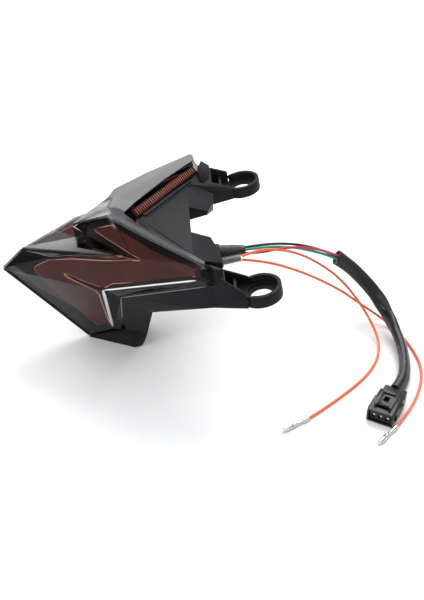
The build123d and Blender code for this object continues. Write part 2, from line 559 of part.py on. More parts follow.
for q in (-1, 0, 1):
    retainer = retainer - block(CONN_L - 7.5, CONN_L, 3.2, -2.1, 1.6, q * CONN_PITCH)
    contacts.append((conn * block(12.0, CONN_L - 2.6, 2.4, -1.5, 0.9, q * CONN_PITCH)).solid())
save(conn * retainer, "connector_retainer")
save(Compound(contacts), "connector_contacts")
# lock lever: pressed at its rear end, it turns a little about a pin between the rails
LW = 2 * RAIL_Y - 1.8 - 0.4
lever = Pos(PIVOT_X, 0, PIVOT_Z) * Rot(90, 0, 0) * Cylinder(1.3, LW)
lever = lever + block(13.4, PIVOT_X, LW, PIVOT_Z - 0.3, PIVOT_Z - 0.3 + LEVER_T)
lever = lever + block(13.4, 16.4, LW, PIVOT_Z - 0.3, PIVOT_Z + 2.7)
lever = lever - block(19.5, 25.0, 4.4, PIVOT_Z - 2, PIVOT_Z + 4)
lever = lever + Pos(PIVOT_X, 0, PIVOT_Z) * Rot(90, 0, 0) * Cylinder(PIN_R, 2 * RAIL_Y + 1.2)
print("lever", len(lever.solids()), round(lever.volume, 1), "pivot", conn.from_local_coords(Vector(PIVOT_X, 0, PIVOT_Z)))
save(conn * lever, "connector_lever")

whole = [housing, lens, top_cover]
lo = [min(getattr(q.bounding_box().min, a) for q in whole) for a in "XYZ"]
hi = [max(getattr(q.bounding_box().max, a) for q in whole) for a in "XYZ"]
print("light without harness", [round(v, 2) for v in lo], [round(v, 2) for v in hi])
print("ear axis", ear_axis, "hole middle", ear_c - ear_axis * 0.6)
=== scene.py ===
import math
import random

import bmesh
import bpy
from mathutils import Matrix, Vector, noise


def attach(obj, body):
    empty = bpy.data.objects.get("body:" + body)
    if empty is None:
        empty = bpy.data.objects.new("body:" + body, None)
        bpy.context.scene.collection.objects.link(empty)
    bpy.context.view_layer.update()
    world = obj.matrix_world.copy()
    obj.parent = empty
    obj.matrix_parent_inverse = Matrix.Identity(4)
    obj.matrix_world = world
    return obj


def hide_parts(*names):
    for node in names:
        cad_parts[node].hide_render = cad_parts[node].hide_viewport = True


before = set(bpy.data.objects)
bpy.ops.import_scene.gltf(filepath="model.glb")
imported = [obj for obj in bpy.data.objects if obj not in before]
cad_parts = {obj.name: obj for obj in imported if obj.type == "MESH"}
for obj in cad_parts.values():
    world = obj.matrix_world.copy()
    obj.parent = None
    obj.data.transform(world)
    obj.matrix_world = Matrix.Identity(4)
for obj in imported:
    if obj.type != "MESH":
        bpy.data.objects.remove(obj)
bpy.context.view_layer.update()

# Tail light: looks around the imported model. Everything below is written in millimetres of the row frame and scaled to metres once.
MM = 0.001
ROOT, LEVER = "light", "lock_lever"
scene = bpy.context.scene
scene.view_settings.view_transform = "Standard"
random.seed(4)


def vec(p):
    return Vector((float(p[0]), float(p[1]), float(p[2])))


def mir(p):
    return (-p[0], p[1], p[2])


# ---------------------------------------------------------------- camera
cam_data = bpy.data.cameras.new("camera")
cam_data.lens, cam_data.sensor_width, cam_data.sensor_fit = 60.0, 36.0, "AUTO"
cam_data.clip_start, cam_data.clip_end = 0.02, 40
camera = bpy.data.objects.new("camera", cam_data)
scene.collection.objects.link(camera)
camera.location = vec((702.9, 18.6, 516.9)) * MM
camera.rotation_euler = (vec((0, 62.8, 32.9)) * MM - camera.location).to_track_quat("-Z", "Y").to_euler()
scene.camera = camera


# ---------------------------------------------------------------- node helpers
def new_mat(name):
    m = bpy.data.materials.new(name)
    m.use_nodes = True
    nt = m.node_tree
    nt.nodes.clear()
    out = nt.nodes.new("ShaderNodeOutputMaterial")
    return m, nt, out


def node(nt, kind, **props):
    n = nt.nodes.new(kind)
    for k, v in props.items():
        setattr(n, k, v)
    return n


def coords(nt, scale=(1, 1, 1)):
    t = node(nt, "ShaderNodeTexCoord")
    mp = node(nt, "ShaderNodeMapping")
    mp.inputs["Scale"].default_value = scale
    nt.links.new(t.outputs["Object"], mp.inputs["Vector"])
    return mp.outputs["Vector"]


def noise_tex(nt, vector, scale, detail=3.0, rough=0.5, distort=0.0):
    n = node(nt, "ShaderNodeTexNoise")
    n.inputs["Scale"].default_value = scale
    n.inputs["Detail"].default_value = detail
    n.inputs["Roughness"].default_value = rough
    n.inputs["Distortion"].default_value = distort
    nt.links.new(vector, n.inputs["Vector"])
    return n


def ramp(nt, fac, stops):
    r = node(nt, "ShaderNodeValToRGB")
    e = r.color_ramp.elements
    e[0].position, e[0].color = stops[0][0], (*stops[0][1], 1)
    e[1].position, e[1].color = stops[-1][0], (*stops[-1][1], 1)
    for p, c in stops[1:-1]:
        k = e.new(p)
        k.color = (*c, 1)
    nt.links.new(fac, r.inputs["Fac"])
    return r.outputs["Color"]


def spread(nt, fac, lo, hi, a=0.3, b=0.7):
    m = node(nt, "ShaderNodeMapRange")
    m.inputs["From Min"].default_value, m.inputs["From Max"].default_value = a, b
    m.inputs["To Min"].default_value, m.inputs["To Max"].default_value = lo, hi
    nt.links.new(fac, m.inputs["Value"])
    return m.outputs["Result"]


def bumped(nt, parts):
    """Chain of bumps: (height socket, strength, distance in mm)."""
    last = None
    for height, strength, dist in parts:
        b = node(nt, "ShaderNodeBump")
        b.inputs["Strength"].default_value = strength
        b.inputs["Distance"].default_value = dist * MM
        nt.links.new(height, b.inputs["Height"])
        if last is not None:
            nt.links.new(last, b.inputs["Normal"])
        last = b.outputs["Normal"]
    return last


def plastic(name, dark, light, rough, grain, grain_depth, patch=35.0, coat=0.0, coat_rough=0.05, specular=0.5, sheen=0.0, metallic=0.0, ior=1.46,
            scratch=0.0, extra=None):
    """Moulded surface: slow colour patches, fine grain, uneven gloss and optional hairline scratches."""
    m, nt, out = new_mat(name)
    p = node(nt, "ShaderNodeBsdfPrincipled")
    v = coords(nt)
    slow = noise_tex(nt, v, patch, 4.0, 0.6)
    fine = noise_tex(nt, v, grain, 3.0, 0.55)
    nt.links.new(ramp(nt, slow.outputs["Fac"], [(0.30, dark), (0.72, light)]), p.inputs["Base Color"])
    r = node(nt, "ShaderNodeMath", operation="ADD")
    nt.links.new(spread(nt, slow.outputs["Fac"], rough[0], rough[1]), r.inputs[0])
    nt.links.new(spread(nt, fine.outputs["Fac"], -0.03, 0.03), r.inputs[1])
    nt.links.new(r.outputs["Value"], p.inputs["Roughness"])
    bumps = [(fine.outputs["Fac"], 0.55, grain_depth)]
    if scratch:
        w = noise_tex(nt, coords(nt, (1.0, 9.0, 2.0)), 260.0, 2.0, 0.4)
        bumps.append((w.outputs["Fac"], 0.35, scratch))
    if extra:
        bumps += extra(nt)
    nt.links.new(bumped(nt, bumps), p.inputs["Normal"])
    p.inputs["IOR"].default_value = ior
    p.inputs["Specular IOR Level"].default_value = specular
    p.inputs["Coat Weight"].default_value = coat
    p.inputs["Coat Roughness"].default_value = coat_rough
    p.inputs["Sheen Weight"].default_value = sheen
    p.inputs["Metallic"].default_value = metallic
    nt.links.new(p.outputs["BSDF"], out.inputs["Surface"])
    return m


def see_through(name, tint, haze_colour, haze, rough, ior=1.5, wave=0.0, curve=5.0):
    """Thin clear wall: tinted see-through, a little haze, and a mirror coat."""
    m, nt, out = new_mat(name)
    v = coords(nt)
    slow = noise_tex(nt, v, 28.0, 3.0, 0.5)
    clear = node(nt, "ShaderNodeBsdfTransparent")
    t0 = tuple(c * 0.93 for c in tint)
    t1 = tuple(min(1.0, c * 1.07) for c in tint)
    facing = node(nt, "ShaderNodeLayerWeight")
    facing.inputs["Blend"].default_value = 0.5
    path = node(nt, "ShaderNodeMath", operation="POWER", use_clamp=True)
    path.inputs[1].default_value = 3.2
    nt.links.new(facing.outputs["Facing"], path.inputs[0])
    depth = node(nt, "ShaderNodeMix", data_type="RGBA")
    nt.links.new(path.outputs["Value"], depth.inputs["Factor"])
    nt.links.new(ramp(nt, slow.outputs["Fac"], [(0.3, t0), (0.7, t1)]), depth.inputs["A"])
    depth.inputs["B"].default_value = (*(c ** 6 for c in tint), 1)
    nt.links.new(depth.outputs["Result"], clear.inputs["Color"])
    dull = node(nt, "ShaderNodeBsdfDiffuse")
    dull.inputs["Color"].default_value = (*haze_colour, 1)
    mix = node(nt, "ShaderNodeMixShader")
    mix.inputs["Fac"].default_value = haze
    nt.links.new(clear.outputs["BSDF"], mix.inputs[1])
    nt.links.new(dull.outputs["BSDF"], mix.inputs[2])
    gloss = node(nt, "ShaderNodeBsdfGlossy")
    gloss.inputs["Color"].default_value = (1, 1, 1, 1)
    nt.links.new(spread(nt, slow.outputs["Fac"], rough * 0.7, rough * 1.4), gloss.inputs["Roughness"])
    fr = node(nt, "ShaderNodeLayerWeight")
    fr.inputs["Blend"].default_value = 0.5
    if wave:
        n = bumped(nt, [(noise_tex(nt, v, 45.0, 2.0, 0.4).outputs["Fac"], 0.4, wave), (noise_tex(nt, v, 900.0, 2.0, 0.4).outputs["Fac"], 0.25, wave * 0.05)])
        nt.links.new(n, gloss.inputs["Normal"])
        nt.links.new(n, fr.inputs["Normal"])
    top = node(nt, "ShaderNodeMixShader")
    bend = node(nt, "ShaderNodeMath", operation="POWER")
    bend.inputs[1].default_value = curve
    nt.links.new(fr.outputs["Facing"], bend.inputs[0])
    lift = node(nt, "ShaderNodeMath", operation="MULTIPLY_ADD", use_clamp=True)
    lift.inputs[1].default_value = 0.92
    lift.inputs[2].default_value = ((ior - 1) / (ior + 1)) ** 2
    nt.links.new(bend.outputs["Value"], lift.inputs[0])
    nt.links.new(lift.outputs["Value"], top.inputs["Fac"])
    nt.links.new(mix.outputs["Shader"], top.inputs[1])
    nt.links.new(gloss.outputs["BSDF"], top.inputs[2])
    nt.links.new(top.outputs["Shader"], out.inputs["Surface"])
    return m


# ---------------------------------------------------------------- materials
M_SMOKE = see_through("smoked_polycarbonate", (0.52, 0.48, 0.50), (0.03, 0.012, 0.010), 0.02, 0.045, 1.26, wave=0.003, curve=5.5)
M_CLEAR = see_through("milky_clear_tube", (0.95, 0.93, 0.93), (0.80, 0.72, 0.73), 0.15, 0.12, 1.45, wave=0.25)
M_GLOSS = plastic("gloss_black_cover", (0.030, 0.031, 0.034), (0.040, 0.041, 0.044), (0.24, 0.32), 700.0, 0.001, coat=0.2, coat_rough=0.14, scratch=0.002)
# mid-grey trim base: partly the trim's own dark grey, partly a painted reflection of the overhead light
M_TRIM_GREY_AND_SHEEN = plastic("satin_trim_grey_and_painted_sheen", (0.120, 0.122, 0.127), (0.160, 0.162, 0.168), (0.52, 0.60), 900.0, 0.008, coat=0.08, coat_rough=0.35, scratch=0.012)
M_BEZEL = plastic("bezel_black", (0.006, 0.005, 0.006), (0.012, 0.010, 0.011), (0.16, 0.26), 500.0, 0.002, coat=0.2)
M_HOUSING = plastic("housing_moulded_black", (0.007, 0.0075, 0.0085), (0.012, 0.0125, 0.014), (0.38, 0.52), 1900.0, 0.05, patch=22.0, specular=0.12, scratch=0.01)
# lighter, glossier copy of the housing black for its bevelled edges: painted edge highlights
M_HOUSING_EDGE_HIGHLIGHT = plastic("housing_edge_painted_highlight", (0.012, 0.0125, 0.0135), (0.020, 0.0205, 0.022), (0.20, 0.32), 1900.0, 0.03, patch=22.0, specular=0.75, coat=0.3, coat_rough=0.12)
# light grey gloss for the beads at the lens skirt's foot: the rim is real, its light grey colour is a painted highlight
M_SEAM_HIGHLIGHT = plastic("seam_painted_highlight", (0.16, 0.16, 0.17), (0.24, 0.24, 0.25), (0.12, 0.2), 900.0, 0.004, specular=0.9, coat=0.6, coat_rough=0.06)
M_RUBBER = plastic("rubber_black", (0.008, 0.008, 0.008), (0.015, 0.015, 0.015), (0.55, 0.72), 1400.0, 0.06, specular=0.30)
# near-white mirror metal for the beads on the lens folds: a painted highlight standing in for the white highlight lines
# on the creases
M_FOLD_HIGHLIGHT = plastic("fold_painted_highlight", (0.80, 0.81, 0.83), (0.88, 0.89, 0.90), (0.10, 0.18), 900.0, 0.006, metallic=1.0)
M_SHRINK = plastic("heat_shrink_black", (0.011, 0.011, 0.012), (0.020, 0.020, 0.021), (0.30, 0.45), 1100.0, 0.03, scratch=0.03)
M_LOOM = plastic("vinyl_loom_black", (0.007, 0.007, 0.008), (0.013, 0.013, 0.014), (0.24, 0.38), 1000.0, 0.02, specular=0.42, scratch=0.03)
M_CONN = plastic("connector_black", (0.007, 0.007, 0.008), (0.012, 0.012, 0.013), (0.22, 0.34), 1500.0, 0.02, specular=0.4, scratch=0.01)
M_BOARD = plastic("board_solder_mask", (0.004, 0.011, 0.007), (0.006, 0.016, 0.010), (0.40, 0.55), 800.0, 0.02)
M_CHIP = plastic("led_package", (0.55, 0.42, 0.12), (0.75, 0.6, 0.2), (0.30, 0.45), 2000.0, 0.01)
M_TIN = plastic("tin_plate", (0.55, 0.54, 0.51), (0.78, 0.77, 0.74), (0.18, 0.34), 1600.0, 0.02, metallic=1.0, scratch=0.03)
M_GREEN = plastic("insulation_green", (0.010, 0.20, 0.145), (0.018, 0.29, 0.21), (0.28, 0.40), 1200.0, 0.015, patch=60)
M_RED = plastic("insulation_red", (0.36, 0.018, 0.045), (0.48, 0.03, 0.065), (0.28, 0.40), 1200.0, 0.015, patch=60)
M_BLACKW = plastic("insulation_black", (0.010, 0.010, 0.011), (0.018, 0.018, 0.019), (0.28, 0.40), 1200.0, 0.015, patch=60)
M_ORANGE = plastic("insulation_orange", (0.72, 0.115, 0.030), (0.86, 0.165, 0.050), (0.28, 0.42), 1200.0, 0.015, patch=60)


def diffuser_material(name, dark, light, rough, painted_glow=0.0):
    m, nt, out = new_mat(name)
    p = node(nt, "ShaderNodeBsdfPrincipled")
    v = coords(nt)
    slow = noise_tex(nt, v, 18.0, 3.0, 0.5)
    nt.links.new(ramp(nt, slow.outputs["Fac"], [(0.3, dark), (0.7, light)]), p.inputs["Base Color"])
    w = node(nt, "ShaderNodeTexWave", bands_direction="DIAGONAL")
    w.inputs["Scale"].default_value = 260.0
    w.inputs["Distortion"].default_value = 0.4
    nt.links.new(v, w.inputs["Vector"])
    nt.links.new(bumped(nt, [(w.outputs["Fac"], 0.12, 0.05), (noise_tex(nt, v, 400.0).outputs["Fac"], 0.2, 0.03)]), p.inputs["Normal"])
    nt.links.new(spread(nt, slow.outputs["Fac"], rough - 0.05, rough + 0.07), p.inputs["Roughness"])
    p.inputs["Emission Color"].default_value = (*light, 1)
    p.inputs["Emission Strength"].default_value = painted_glow
    nt.links.new(p.outputs["BSDF"], out.inputs["Surface"])
    return m


# the light guides glow although the lamp is off: a faint painted glow on the red body, a strong one on the edge
# material as a painted highlight
M_DIFF = diffuser_material("light_guide_red", (0.50, 0.145, 0.095), (0.60, 0.175, 0.115), 0.45, painted_glow=0.10)
M_DIFF_EDGE_HIGHLIGHT = diffuser_material("light_guide_edge_painted_highlight", (0.95, 0.40, 0.24), (1.0, 0.50, 0.33), 0.18, painted_glow=1.9)
M_STRIP = plastic("strip_red_base", (0.016, 0.004, 0.003), (0.026, 0.007, 0.005), (0.55, 0.70), 900.0, 0.01, specular=0.06)
M_RIB = diffuser_material("strip_red_rib", (0.40, 0.125, 0.085), (0.52, 0.175, 0.125), 0.30)


# ---------------------------------------------------------------- mesh helpers
def make(name, verts, faces, mat, body=ROOT, smooth=True, slots=None):
    me = bpy.data.meshes.new(name)
    me.from_pydata([tuple(vec(p) * MM) for p in verts], [], faces)
    me.validate()
    me.update()
    o = bpy.data.objects.new(name, me)
    scene.collection.objects.link(o)
    for m in (mat if isinstance(mat, (list, tuple)) else [mat]):
        me.materials.append(m)
    if smooth:
        me.shade_smooth()
    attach(o, body)
    return o


def apply_modifiers(o):
    dg = bpy.context.evaluated_depsgraph_get()
    dg.update()
    me = bpy.data.meshes.new_from_object(o.evaluated_get(dg), depsgraph=dg)
    o.modifiers.clear()
    o.data = me
    return o


def bevel_mod(o, width, segments=3, angle=None, harden=True, profile=0.5):
    b = o.modifiers.new("bevel", "BEVEL")
    b.width = width * MM
    b.segments = segments
    b.profile = profile
    b.use_clamp_overlap = True
    if angle is None:
        b.limit_method = "WEIGHT"
    else:
        b.limit_method = "ANGLE"
        b.angle_limit = math.radians(angle)
    b.harden_normals = harden
    b.miter_outer = "MITER_ARC"
    return b


def from_node(name, mat, body=ROOT, width=0.5, segments=2, angle=25, piece=None, dissolve=0.6):
    """Copy of a CAD node with its flat faces joined up and its edges rounded."""
    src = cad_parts[name]
    bm = bmesh.new()
    bm.from_mesh(src.data)
    bmesh.ops.remove_doubles(bm, verts=bm.verts, dist=2e-6)
    bmesh.ops.dissolve_limit(bm, angle_limit=math.radians(dissolve), verts=bm.verts, edges=bm.edges, delimit=set())
    me = bpy.data.meshes.new(piece or name + "_shape")
    bm.to_mesh(me)
    bm.free()
    o = bpy.data.objects.new(piece or name + "_shape", me)
    scene.collection.objects.link(o)
    me.materials.clear()
    for m in (mat if isinstance(mat, (list, tuple)) else [mat]):
        me.materials.append(m)
    me.shade_smooth()
    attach(o, body)
    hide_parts(name)
    if width:
        bevel_mod(o, width, segments, angle)
    return o


# ---------------------------------------------------------------- cords
def spline_curve(name, pts, dia, mat, body=ROOT):
    cu = bpy.data.curves.new(name, "CURVE")
    cu.dimensions = "3D"
    sp = cu.splines.new("NURBS")
    sp.points.add(len(pts) - 1)
    for q, p in zip(sp.points, pts):
        q.co = (*(vec(p) * MM), 1.0)
    sp.order_u = 3
    sp.use_endpoint_u = True
    cu.resolution_u = 10
    if dia:
        cu.bevel_depth = dia / 2 * MM
        cu.bevel_resolution = 5
        cu.use_fill_caps = True
    o = bpy.data.objects.new(name, cu)
    scene.collection.objects.link(o)
    if mat:
        cu.materials.append(mat)
    return o


def spline_points(pts):
    """Points of a route's smooth line, in millimetres."""
    o = spline_curve("scratch_line", pts, 0, None)
    o.data.resolution_u = 14
    bpy.context.view_layer.update()
    me = bpy.data.meshes.new_from_object(o)
    out = [v.co / MM for v in me.vertices]
    bpy.data.objects.remove(o)
    bpy.data.meshes.remove(me)
    return out


def arc_length(pts):
    return sum((b - a).length for a, b in zip(pts, pts[1:]))


GREEN = [(26.9, 87.6, 98.9), (21.0, 101.7, 97.0), (15.3, 116.2, 93.6), (8.3, 131.3, 87.8), (1.1, 146.0, 79.6), (-5.6, 159.4, 71.3), (-10.4, 170.2, 63.3)]
BLACK = [(24.1, 87.6, 99.5), (18.2, 101.9, 97.9), (12.3, 116.5, 94.7), (4.7, 131.7, 88.9), (-3.3, 146.6, 80.5), (-9.9, 159.5, 71.9), (-13.5, 169.8, 63.9)]
RED = [(27.3, 87.6, 95.8), (24.8, 101.3, 94.4), (19.2, 115.4, 94.0), (12.6, 130.6, 91.2), (4.0, 145.4, 84.0), (-4.6, 159.8, 75.1), (-12.1, 171.4, 65.3)]
LOOM = [(-12.0, 170.3, 64.0), (-15.7, 182.1, 53.1), (-15.2, 194.5, 40.0), (-8.4, 206.6, 27.3), (5.4, 214.5, 16.4), (21.3, 218.7, 10.6),
        (36.8, 220.3, 8.2), (52.5, 220.1, 5.4), (69.7, 217.1, 5.3), (86.4, 211.7, 5.5), (98.5, 203.0, 5.8)]
ORANGE_A = [(35.3, 84.7, 98.3), (30.7, 97.8, 100.8), (25.8, 111.5, 97.7), (14.4, 127.1, 87.9), (2.1, 142.5, 74.2), (-7.3, 157.3, 59.5),
            (-12.1, 171.8, 45.0), (-9.4, 184.7, 30.7), (-0.9, 194.6, 18.2), (11.8, 201.7, 8.7), (30.6, 204.1, 3.3), (48.7, 199.4, 1.3),
            (68.1, 188.0, 1.3), (84.0, 173.4, 1.3), (99.2, 157.0, 1.3), (111.6, 142.3, 1.3), (121.4, 130.5, 2.1)]
ORANGE_B = [(36.6, 84.8, 95.7), (33.6, 99.0, 92.0), (29.2, 113.3, 85.5), (23.5, 128.2, 76.5), (16.4, 143.7, 65.0), (6.0, 159.7, 50.2),
            (-4.4, 176.0, 34.0), (-11.1, 190.3, 18.7), (-9.9, 203.5, 9.0), (0.4, 216.0, 3.9), (17.1, 225.9, 1.3), (38.9, 231.4, 1.3),
            (58.9, 233.1, 1.3), (78.5, 229.7, 1.3), (97.7, 221.8, 1.3), (113.7, 212.5, 1.3), (126.1, 203.4, 1.3), (134.8, 196.7, 2.1)]
WIRE_D, LOOM_D = 2.2, 10.4

for name, pts, mat in (("wire_green", GREEN, M_GREEN), ("wire_black", BLACK, M_BLACKW), ("wire_red", RED, M_RED),
                       ("wire_orange_right", ORANGE_A, M_ORANGE), ("wire_orange_left", ORANGE_B, M_ORANGE)):
    o = spline_curve(name + "_cord", pts, WIRE_D, mat)
    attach(o, ROOT)
    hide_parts(name)


def frames(pts, up=Vector((0, 0, 1))):
    """Tangents and unrolled normals along a line."""
    out = []
    n = len(pts)
    nrm = None
    for i in range(n):
        t = (pts[min(i + 1, n - 1)] - pts[max(i - 1, 0)]).normalized()
        if nrm is None:
            nrm = (up - t * up.dot(t)).normalized()
        else:
            nrm = (nrm - t * nrm.dot(t)).normalized()
        out.append((t, nrm, t.cross(nrm)))
    return out


def loft(name, pts, radius, mat, seg=40, body=ROOT, cap=0.6, up=Vector((0, 0, 1))):
    """Tube along a line whose section comes from radius(s, angle), with hollow-looking ends."""
    fr = frames(pts, up)
    total = arc_length(pts)
    verts, faces, s = [], [], 0.0
    rings = []
    for i, p in enumerate(pts):
        if i:
            s += (pts[i] - pts[i - 1]).length
        t, a, b = fr[i]
        ring = []
        for k in range(seg):
            w = 2 * math.pi * k / seg
            r = radius(s / total, w)
            ring.append(len(verts))
            q = p + a * (math.cos(w) * r) + b * (math.sin(w) * r)
            q.z = max(q.z, 0.05)
            verts.append(q)
        rings.append(ring)
    for r0, r1 in zip(rings, rings[1:]):
        for k in range(seg):
            faces.append((r0[k], r0[(k + 1) % seg], r1[(k + 1) % seg], r1[k]))
    for end, sign in ((0, 1), (len(pts) - 1, -1)):
        t = fr[end][0] * sign
        c = pts[end]
        lip, deep = [], []
        for k in range(seg):
            q = verts[rings[end][k]]
            lip.append(len(verts))
            verts.append(c + (q - c) * 0.86)
        for k in range(seg):
            q = verts[rings[end][k]]
            deep.append(len(verts))
            verts.append(c + (q - c) * 0.82 + t * cap)
        ring = rings[end]
        for r0, r1 in ((ring, lip), (lip, deep)):
            for k in range(seg):
                f = (r0[k], r1[k], r1[(k + 1) % seg], r0[(k + 1) % seg])
                faces.append(f if sign > 0 else tuple(reversed(f)))
        faces.append(tuple(reversed(deep)) if sign > 0 else tuple(deep))
    o = make(name, verts, faces, mat, body)
    bm = bmesh.new()
    bm.from_mesh(o.data)
    bmesh.ops.recalc_face_normals(bm, faces=bm.faces)
    bm.to_mesh(o.data)
    bm.free()
    return o


# the loom is a soft vinyl tube, a little flattened, with a seam and a fold where it turns over
loom_line = spline_points(LOOM)


def loom_radius(s, w):
    twist = math.radians(-35 + 120 * max(0.0, min(1.0, (s - 0.30) / 0.25)))
    fold = math.exp(-((s - 0.42) / 0.045) ** 2)
    a, b = 6.3 - 0.7 * fold, 4.45 - 0.85 * fold
    a += 0.35 * math.exp(-(s / 0.05) ** 2)
    b -= 0.35 * math.exp(-(s / 0.05) ** 2)
    c, d = math.cos(w - twist), math.sin(w - twist)
    r = 1.0 / ((abs(c) / a) ** 2.3 + (abs(d) / b) ** 2.3) ** (1 / 2.3)
    r += 0.16 * math.exp(-(((w - twist + math.pi) % (2 * math.pi) - math.pi) / 0.16) ** 2)            # seam
    r -= 0.22 * math.exp(-(((w - twist + 0.9) % (2 * math.pi) - math.pi) / 0.5) ** 2) * (0.35 + fold)   # hollow beside it
    r += 0.10 * noise.noise(Vector((s * 30, math.cos(w) * 1.4, math.sin(w) * 1.4)))
    return r


dense = []
for a, b in zip(loom_line, loom_line[1:]):
    dense += [a, a.lerp(b, 0.5)]
dense.append(loom_line[-1])
loom = loft("loom_sleeve_cord", dense, loom_radius, M_LOOM, 44)
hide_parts("loom_sleeve")

# ---------------------------------------------------------------- faceted lens surface
LV = {
    "A": (0, -111.2, 72.4), "B": (0, -93.8, 90.0), "N": (0, -47.5, 91.7), "M": (0, -50.0, 109.2), "K": (0, -45.1, 1.0),
    "Q1": (14.5, -20.9, 124.8), "Q2": (24.4, -15.8, 127.2), "T": (88.5, 49.0, 124.8), "M4": (50.0, -3.3, 108.0),
    "R1": (22.0, -67.6, 95.0), "R2": (30.0, -51.0, 101.2), "R3": (40.0, -27.0, 104.8), "F": (12.4, -47.5, 91.7), "G": (31.0, -13.3, 99.0),
    "J": (44.0, -26.0, 76.0), "L": (89.0, 48.2, 112.2), "KM": (19.0, -21.8, 21.2),
    "Jb": (43.0, -12.4, 68.0), "Lb": (88.0, 55.3, 106.0), "Kb": (17.5, -13.6, 17.5), "W": (90.0, 60.8, 108.1),
}
FRONT = [("M", "Q1", "M4"), ("Q1", "Q2", "M4"), ("Q2", "T", "M4"), ("M4", "T", "L"), ("M4", "L", "J"), ("R3", "M4", "J"), ("R2", "R3", "J"),
         ("R1", "R2", "J"), ("A", "R1", "J"), ("A", "B", "R1"), ("A", "J", "KM"), ("A", "KM", "K"), ("B", "N", "F"), ("N", "G", "F"),
         ("N", "M4", "G"), ("B", "F", "R1"), ("R1", "F", "R2"), ("R2", "F", "G"), ("R2", "G", "R3"), ("R3", "G", "M4"), ("M", "M4", "N")]
SKIRT = [("J", "L", "Lb"), ("J", "Lb", "Jb"), ("KM", "J", "Jb"), ("KM", "Jb", "Kb"), ("T", "W", "L"), ("L", "W", "Lb"), ("K", "KM", "Kb")]


def both_sides(verts, tris, inside):
    v = {k: vec(p) for k, p in verts.items()}
    for k, p in verts.items():
        if abs(p[0]) > 1e-9:
            v[k + "_"] = vec(mir(p))
    m = lambda k: k + "_" if k + "_" in v else k
    out = []
    for t in tris:
        a, b, c = (v[k] for k in t)
        if (b - a).cross(c - a).dot((a + b + c) / 3 - vec(inside)) < 0:
            t = (t[0], t[2], t[1])
        out += [tuple(t), (m(t[0]), m(t[2]), m(t[1]))]
    return v, out


def surface(name, verts, tris, inside, weights, width, thick, mat, segments=5):
    """One-sided facets with rounded folds of their own radii, then given a wall inwards."""
    v, ts = both_sides(verts, tris, inside)
    keys = sorted(v)
    index = {k: i for i, k in enumerate(keys)}
    o = make(name, [v[k] for k in keys], [tuple(index[k] for k in t) for t in ts], mat)
    bm = bmesh.new()
    bm.from_mesh(o.data)
    layer = bm.edges.layers.float.get("bevel_weight_edge") or bm.edges.layers.float.new("bevel_weight_edge")
    bm.verts.ensure_lookup_table()
    flat = []
    for e in bm.edges:
        a, b = (keys[q.index].rstrip("_") for q in e.verts)
        if len(e.link_faces) == 2 and e.calc_face_angle(0.0) < math.radians(1.0):
            flat.append(e)
            continue
        e[layer] = weights.get((a, b), weights.get((b, a), 0.12)) if len(e.link_faces) == 2 else 0.0
    bmesh.ops.dissolve_edges(bm, edges=flat, use_verts=False)
    bm.to_mesh(o.data)
    bm.free()
    bevel_mod(o, width, segments, None, harden=False)
    s = o.modifiers.new("wall", "SOLIDIFY")
    s.thickness = thick * MM
    s.offset = -1.0
    s.use_even_offset = False
    w = o.modifiers.new("normals", "WEIGHTED_NORMAL")
    w.keep_sharp = True
    w.weight = 80
    return o


LENS_W = {("B", "R1"): 0.9, ("R1", "R2"): 0.9, ("R2", "R3"): 0.8, ("R3", "M4"): 0.5, ("A", "R1"): 1.0, ("R1", "J"): 0.25, ("R2", "J"): 0.25, ("R3", "J"): 0.3,
          ("M4", "J"): 0.7, ("M4", "L"): 0.7, ("M4", "T"): 0.7, ("J", "L"): 0.42, ("J", "KM"): 0.42, ("A", "J"): 0.8, ("A", "KM"): 0.5, ("A", "B"): 0.45,
          ("A", "K"): 0.45, ("K", "KM"): 0.25, ("T", "L"): 0.3, ("L", "Lb"): 0.3, ("J", "Jb"): 0.4, ("KM", "Jb"): 0.3, ("KM", "Kb"): 0.25, ("L", "W"): 0.2,
          ("N", "M"): 0.2, ("N", "M4"): 0.1, ("M", "M4"): 0.2, ("B", "N"): 0.2, ("Q1", "M4"): 0.5, ("Q2", "M4"): 0.5}
lens = surface("lens_shape", LV, FRONT + SKIRT, (0, 10, 70), LENS_W, 3.6, 2.1, M_SMOKE)
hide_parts("lens")



def bead(o, runs, mat):
    """Thin half-sunk beads along folds, joined to a piece's mesh: (points, outward normals, half width, half height) each."""
    apply_modifiers(o)
    me = o.data
    slot = len(me.materials)
    me.materials.append(mat)
    bm = bmesh.new()
    bm.from_mesh(me)
    seg = 10
    for pts, ups, hw, hh in runs:
        rings = []
        n = len(pts)
        for i, p in enumerate(pts):
            t = (pts[min(i + 1, n - 1)] - pts[max(i - 1, 0)]).normalized()
            up = (ups[i] - t * ups[i].dot(t)).normalized()
            side = t.cross(up)
            f = min(1.0, 0.35 + 9.0 * min(i, n - 1 - i) / n)
            rings.append([bm.verts.new((p + side * (math.cos(2 * math.pi * k / seg) * hw * f) + up * (math.sin(2 * math.pi * k / seg) * hh * f)) * MM) for k in range(seg)])
        for r0, r1 in zip(rings, rings[1:]):
            for k in range(seg):
                f = bm.faces.new((r0[k], r0[(k + 1) % seg], r1[(k + 1) % seg], r1[k]))
                f.material_index, f.smooth = slot, True
        for r in (rings[0], rings[-1]):
            f = bm.faces.new(r)
            f.material_index = slot
    bmesh.ops.recalc_face_normals(bm, faces=[f for f in bm.faces if f.material_index == slot])
    bm.to_mesh(me)
    bm.free()
    return o


